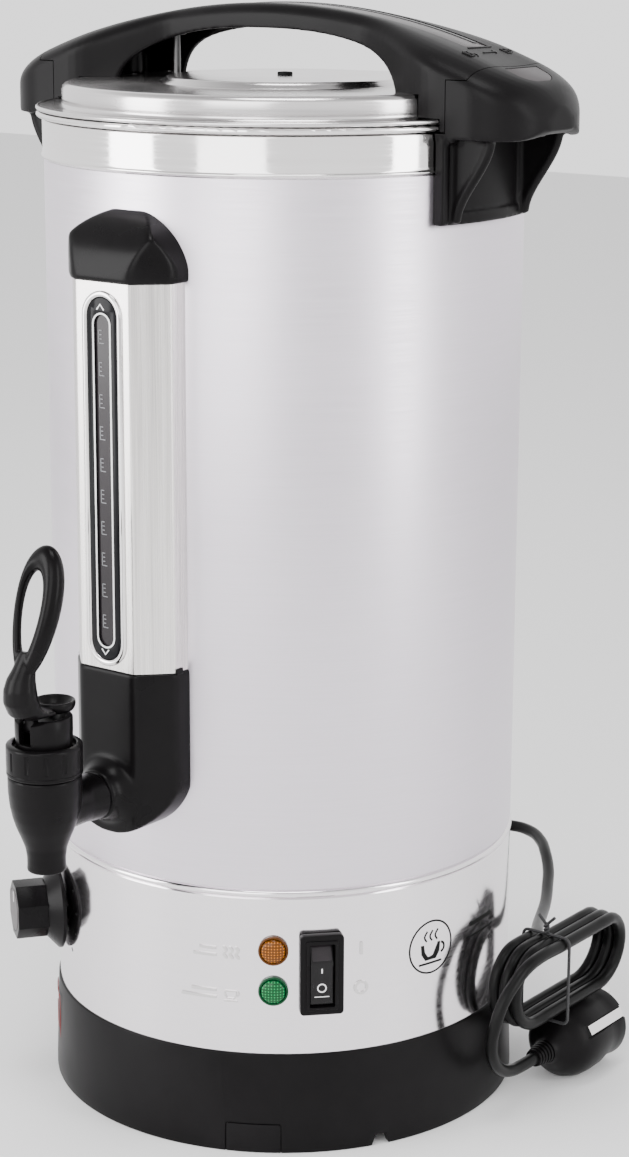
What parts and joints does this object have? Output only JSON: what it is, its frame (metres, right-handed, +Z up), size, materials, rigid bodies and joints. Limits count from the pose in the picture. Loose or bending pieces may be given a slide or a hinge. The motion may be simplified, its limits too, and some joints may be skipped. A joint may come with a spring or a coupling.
{
  "type": "hot drinks urn",
  "caption": "Tall round steel electric urn for heating and serving hot drinks, with a lever tap, a sight gauge, a thermostat knob and a twist-lock lid with an arched handle.",
  "frame": {"origin": "on the body's axis, in the plane that the base stands on", "axes": "+Z up; the tap points along -Y, and the side handles and the lid's arch lie along X"},
  "size_m": [0.296, 0.3646, 0.5125],
  "materials": {
    "brushed_shell": "fine satin, brushed round the body",
    "brushed_column": "coarser brushed steel, grain along the height",
    "polished_steel": "polished sheet steel",
    "plain_steel": "plain steel",
    "zinc_steel": "zinc plated",
    "brass": "plain",
    "black_plastic": "fine textured",
    "soft_black": "smooth satin",
    "grey_plastic": "satin",
    "gloss_black": "glossy",
    "amber_lens": "translucent, faceted inside",
    "green_lens": "translucent, faceted inside",
    "white_plastic": "plain",
    "silicone": "food grade silicone, satin",
    "rubber": "matte",
    "clear_tube": "clear",
    "cord_jacket": "satin jacket",
    "copper_wire": "insulated wire"
  },
  "bodies": {
    "urn": {"base_skirt": "black_plastic", "base_plate": "grey_plastic", "rubber_feet": "rubber", "base_screws": "plain_steel", "lower_housing": "brushed_shell", "outer_shell": "brushed_shell", "rim_band": "polished_steel", "inner_tank": "polished_steel", "heater_plate": "plain_steel", "heating_element": "zinc_steel", "thermal_cutouts": "gloss_black", "thermostat_body": "zinc_steel", "thermostat_bulb": "copper_wire", "terminal_block": "white_plastic", "wiring": "copper_wire", "amber_lens": "amber_lens", "green_lens": "green_lens", "lamp_bodies": "soft_black", "switch_frame": "black_plastic", "switch_body": "black_plastic", "column_cover": "brushed_column", "column_cap": "black_plastic", "column_box": "black_plastic", "gauge_bezel": "polished_steel", "gauge_plate": "gloss_black", "sight_tube": "clear_tube", "tube_seals": "silicone", "outlet_pipe": "polished_steel", "tank_nut": "brass", "tank_gasket": "silicone", "tap_body": "soft_black", "tap_bonnet": "black_plastic", "tap_guide": "soft_black", "tap_spring": "plain_steel", "lever_pin": "plain_steel", "side_handle_right": "black_plastic", "side_handle_left": "black_plastic", "handle_insets": "grey_plastic", "handle_screws": "plain_steel", "strain_relief": "black_plastic", "cord_lead": "cord_jacket", "cord_hank": "cord_jacket", "cord_tail": "cord_jacket", "cord_tie": "grey_plastic", "mains_plug": "black_plastic", "plug_contacts": "polished_steel"},
    "gasket": {"lid_gasket": "silicone"},
    "lid": {"lid_pan": "polished_steel", "lid_liner": "plain_steel", "steam_vent": "rubber", "arch_handle": "black_plastic", "arch_inlay": "grey_plastic", "arch_bolts": "polished_steel"},
    "tap_lever": {"tap_lever": "soft_black"},
    "tap_valve": {"valve_stem": "plain_steel", "seat_cup": "silicone"},
    "thermostat_knob": {"thermostat_knob": "black_plastic", "knob_inset": "grey_plastic", "thermostat_shaft": "plain_steel"},
    "switch_rocker": {"switch_rocker": "gloss_black"}
  },
  "joints": [
    {"name": "lid_lift", "type": "slide", "parent": "urn", "child": "gasket", "axis": [0, 0, 1], "range_m": [0, 0.1]},
    {"name": "lid_turn", "type": "hinge", "parent": "gasket", "child": "lid", "pos_m": [0, 0, 0.465], "axis": [0, 0, 1], "range_deg": [0, 30]},
    {"name": "lever_tilt", "type": "hinge", "parent": "urn", "child": "tap_lever", "pos_m": [0, -0.1765, 0.213], "axis": [1, 0, 0], "range_deg": [0, 25], "stiffness_Nm_per_rad": 0.25, "springref_deg": -11.46},
    {"name": "valve_lift", "type": "slide", "parent": "urn", "child": "tap_valve", "axis": [0, 0, 1], "range_m": [0, 0.003], "stiffness_N_per_m": 60, "springref_m": -0.004, "deforming": ["tap_spring"]},
    {"name": "knob_spin", "type": "hinge", "parent": "urn", "child": "thermostat_knob", "pos_m": [-0.07305, -0.0952, 0.089], "axis": [-0.6088, -0.7934, 0], "range_deg": [0, 270]},
    {"name": "rocker_tilt", "type": "hinge", "parent": "urn", "child": "switch_rocker", "pos_m": [0.07896, -0.07572, 0.0876], "axis": [0.6921, 0.7218, 0], "range_deg": [0, 14]}
  ],
  "couplings": [
    {"joint": "valve_lift", "follows": "lever_tilt", "m_per_rad": 0.0065}
  ]
}
